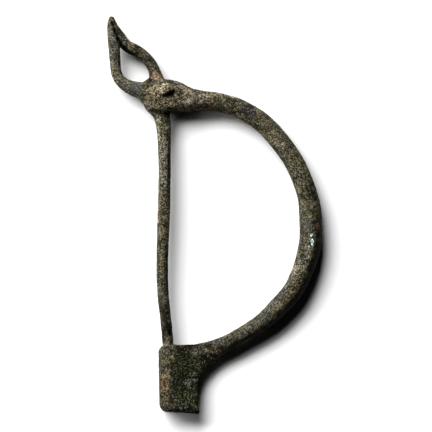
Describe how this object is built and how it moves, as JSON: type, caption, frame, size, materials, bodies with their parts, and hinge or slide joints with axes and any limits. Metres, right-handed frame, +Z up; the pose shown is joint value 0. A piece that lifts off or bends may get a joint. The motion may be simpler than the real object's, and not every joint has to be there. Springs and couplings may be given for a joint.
{
  "type": "fibula brooch",
  "caption": "Ancient corroded bronze bow brooch forged from one rod, with a D-shaped bow, a fused head, a hairpin spring loop, a straight pin and a rolled sheet catch, lying flat",
  "frame": {"origin": "middle of the bounding box at the level of the table that the brooch lies on", "axes": "+X from the pin to the belly of the bow, +Y from the catch to the tip of the spring loop, +Z up from the table through the front of the brooch"},
  "size_m": [0.0541, 0.0999, 0.0065],
  "materials": {
    "corroded_bronze": "bronze under a dull olive-brown corrosion crust with green patches"
  },
  "bodies": {
    "root": {"fibula": "corroded_bronze"}
  },
  "joints": []
}
